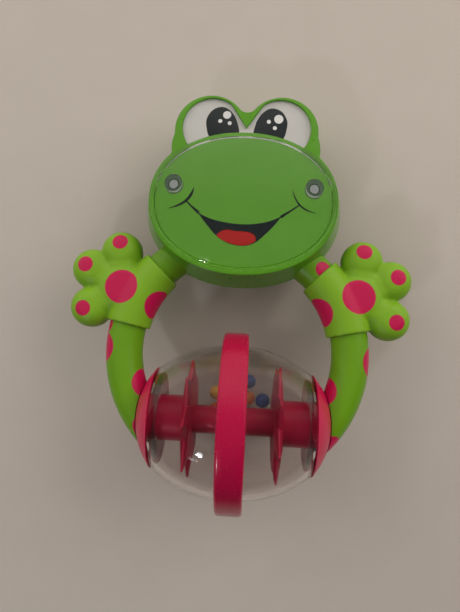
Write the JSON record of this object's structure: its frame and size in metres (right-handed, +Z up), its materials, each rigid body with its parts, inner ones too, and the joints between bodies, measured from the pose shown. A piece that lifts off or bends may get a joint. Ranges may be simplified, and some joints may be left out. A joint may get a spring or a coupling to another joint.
{
  "type": "baby rattle",
  "caption": "Hand-held baby rattle with a frog's head and hands on a grip ring, and a clear ball holding star wheels and loose beads that spins between the ring's ends.",
  "frame": {"origin": "on the surface the rattle lies on, under the middle of its bounding box", "axes": "+Y towards the top of the frog's head, +X along the ball's axle towards the frog's left hand, +Z up, as the rattle lies on its back"},
  "size_m": [0.1382, 0.1641, 0.07],
  "materials": {
    "head_green": "moulded green plastic, satin gloss",
    "card": "printed card, matt",
    "clear_cover": "clear polished plastic",
    "steel": "plated steel",
    "ring_green": "moulded green plastic with printed pink dots",
    "hand_green": "soft green rubber with printed pink dots",
    "clear_ball": "clear polished plastic",
    "band_pink": "soft pink rubber, satin",
    "cap_pink": "moulded pink plastic",
    "wheel_pink": "moulded pink plastic, slightly translucent",
    "bead_blue": "moulded plastic",
    "bead_orange": "moulded plastic",
    "bead_yellow": "moulded plastic"
  },
  "bodies": {
    "frame": {"head_back_shell": "head_green", "head_front_frame": "head_green", "face_card": "card", "face_cover": "clear_cover", "head_screws": "steel", "ring_front_shell": "ring_green", "ring_back_shell": "ring_green", "hand_left": "hand_green", "hand_right": "hand_green", "pivot_pin_left": "steel", "pivot_pin_right": "steel"},
    "ball": {"ball_shell_left": "clear_ball", "ball_shell_right": "clear_ball", "ball_band": "band_pink", "cap_left": "cap_pink", "cap_right": "cap_pink", "star_wheel_left": "wheel_pink", "star_wheel_right": "wheel_pink", "ball_axle": "wheel_pink"},
    "bead_lane_1": {"bead_1": "bead_blue", "bead_2": "bead_yellow"},
    "bead_lane_2": {"bead_3": "bead_blue", "bead_4": "bead_orange", "bead_5": "bead_yellow"},
    "bead_lane_3": {"bead_6": "bead_orange", "bead_7": "bead_blue"},
    "bead_lane_4": {"bead_8": "bead_yellow", "bead_9": "bead_orange", "bead_10": "bead_blue"}
  },
  "joints": [
    {"name": "ball_spin", "type": "hinge", "parent": "frame", "child": "ball", "pos_m": [0, -0.04705, 0.035], "axis": [1, 0, 0], "continuous": true},
    {"name": "bead_lane_1_roll", "type": "hinge", "parent": "frame", "child": "bead_lane_1", "pos_m": [0, -0.04705, 0.035], "axis": [1, 0, 0], "continuous": true},
    {"name": "bead_lane_2_roll", "type": "hinge", "parent": "frame", "child": "bead_lane_2", "pos_m": [0, -0.04705, 0.035], "axis": [1, 0, 0], "continuous": true},
    {"name": "bead_lane_3_roll", "type": "hinge", "parent": "frame", "child": "bead_lane_3", "pos_m": [0, -0.04705, 0.035], "axis": [1, 0, 0], "continuous": true},
    {"name": "bead_lane_4_roll", "type": "hinge", "parent": "frame", "child": "bead_lane_4", "pos_m": [0, -0.04705, 0.035], "axis": [1, 0, 0], "continuous": true}
  ]
}
